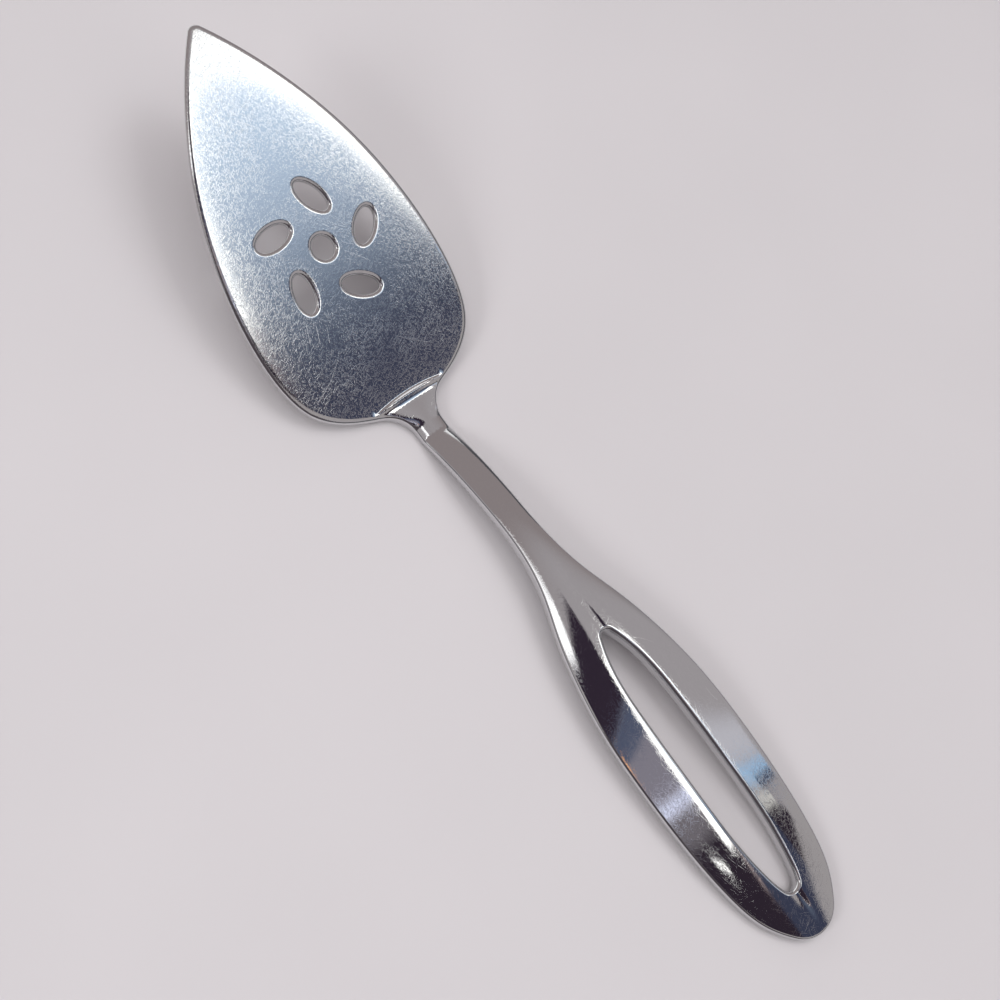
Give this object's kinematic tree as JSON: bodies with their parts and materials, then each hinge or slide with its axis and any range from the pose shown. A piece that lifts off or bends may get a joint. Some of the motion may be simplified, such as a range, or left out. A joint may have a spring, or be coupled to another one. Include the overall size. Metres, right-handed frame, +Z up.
{
  "type": "pie server",
  "caption": "One-piece steel pie server: pointed blade pierced with a pinwheel of petals, stepped heel, narrow neck and arched handle that opens into a long finger loop.",
  "frame": {"origin": "middle of the server's bounding box, on the table it rests on", "axes": "+X runs from the blade tip to the handle end, +Z up, +Y to the left seen from the handle end"},
  "size_m": [0.249, 0.0552, 0.033],
  "materials": {
    "polished_steel": "polished stainless steel with fine random scratches from use"
  },
  "bodies": {
    "root": {"pie_server": "polished_steel"}
  },
  "joints": []
}
